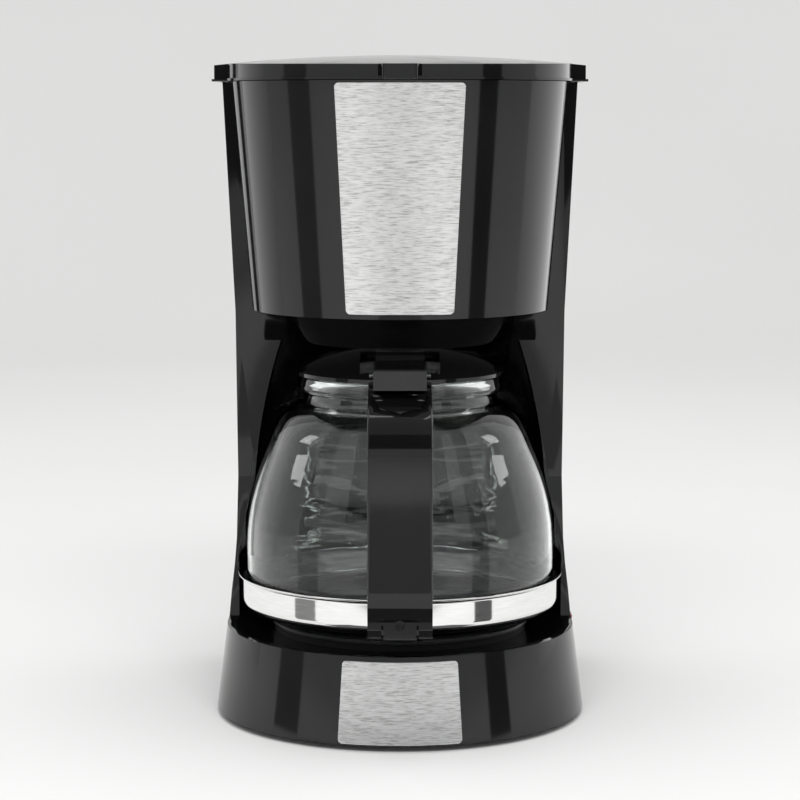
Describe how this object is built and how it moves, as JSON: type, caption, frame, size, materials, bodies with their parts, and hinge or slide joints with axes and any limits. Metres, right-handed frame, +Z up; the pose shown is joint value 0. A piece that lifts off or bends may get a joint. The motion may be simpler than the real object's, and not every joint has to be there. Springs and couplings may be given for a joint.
{
  "type": "drip coffee maker",
  "caption": "Drip coffee maker with a conical brew head, hinged lid, rear water tank, warming base and a glass carafe with a steel band and tall handle.",
  "frame": {"origin": "centre of the bounding box in plan, at the table under the rubber feet", "axes": "+Z up, -Y towards the user (the carafe handle), +X to the right seen from the front"},
  "size_m": [0.1928, 0.256, 0.3375],
  "materials": {
    "black_gloss": "high gloss moulded polypropylene",
    "black_moulded": "fine moulded texture",
    "dark_plastic": "satin moulded",
    "fuse_sleeve": "woven glass-fibre sleeve",
    "brushed_trim": "brushed across, lacquered",
    "polished_band": "polished stainless steel",
    "plate_coating": "non-stick coating",
    "heater_aluminium": "extruded, dull",
    "plain_steel": "zinc plated",
    "silicone": "translucent white silicone",
    "black_rubber": "matt",
    "rocker_red": "gloss moulded",
    "tank_clear": "translucent moulded",
    "window_clear": "clear moulded",
    "nylon_mesh": "woven nylon",
    "glass": "clear borosilicate"
  },
  "bodies": {
    "machine": {"base_housing": "black_gloss", "upper_housing": "black_gloss", "basket_holder": "black_gloss", "switch_body": "black_moulded", "cord_gland": "black_moulded", "bottom_cover": "black_moulded", "filter_basket": "dark_plastic", "spray_arm": "dark_plastic", "spray_head": "dark_plastic", "check_valve": "dark_plastic", "thermal_fuse": "fuse_sleeve", "base_trim_plate": "brushed_trim", "upper_trim_plate": "brushed_trim", "warming_plate": "plate_coating", "heating_element": "heater_aluminium", "water_tube": "heater_aluminium", "riser_tube": "heater_aluminium", "heater_bracket": "plain_steel", "bracket_nut": "plain_steel", "hose_clamps": "plain_steel", "bottom_screws": "plain_steel", "thermostat": "plain_steel", "lid_hinge_pins": "plain_steel", "valve_spring": "plain_steel", "plate_seal": "black_rubber", "inlet_hose": "silicone", "outlet_hose": "silicone", "rubber_feet": "black_rubber", "water_tank": "tank_clear", "level_window": "window_clear", "mesh_filter": "nylon_mesh"},
    "lid": {"lid_shell": "black_gloss", "lid_liner": "dark_plastic"},
    "carafe": {"carafe_glass": "glass", "carafe_band": "polished_band", "carafe_handle": "black_gloss", "handle_screw": "plain_steel", "carafe_lid": "black_gloss", "carafe_lid_pin": "plain_steel"},
    "valve": {"drip_valve": "dark_plastic", "valve_seal": "black_rubber"},
    "rocker": {"switch_rocker": "rocker_red"}
  },
  "joints": [
    {"name": "lid_hinge", "type": "hinge", "parent": "machine", "child": "lid", "pos_m": [0, 0.1135, 0.3276], "axis": [-1, 0, 0], "range_deg": [0, 100]},
    {"name": "carafe_slide", "type": "slide", "parent": "machine", "child": "carafe", "axis": [0, -1, 0], "range_m": [0, 0.26]},
    {"name": "drip_valve_slide", "type": "slide", "parent": "machine", "child": "valve", "axis": [0, 0, -1], "range_m": [0, 0.004], "deforming": ["valve_spring"]},
    {"name": "switch_rocker_hinge", "type": "hinge", "parent": "machine", "child": "rocker", "pos_m": [0.09027, 0.076, 0.02425], "axis": [0, -1, 0], "range_deg": [0, 14]}
  ],
  "couplings": [
    {"joint": "drip_valve_slide", "follows": "carafe_slide", "ratio": 0.015385}
  ]
}
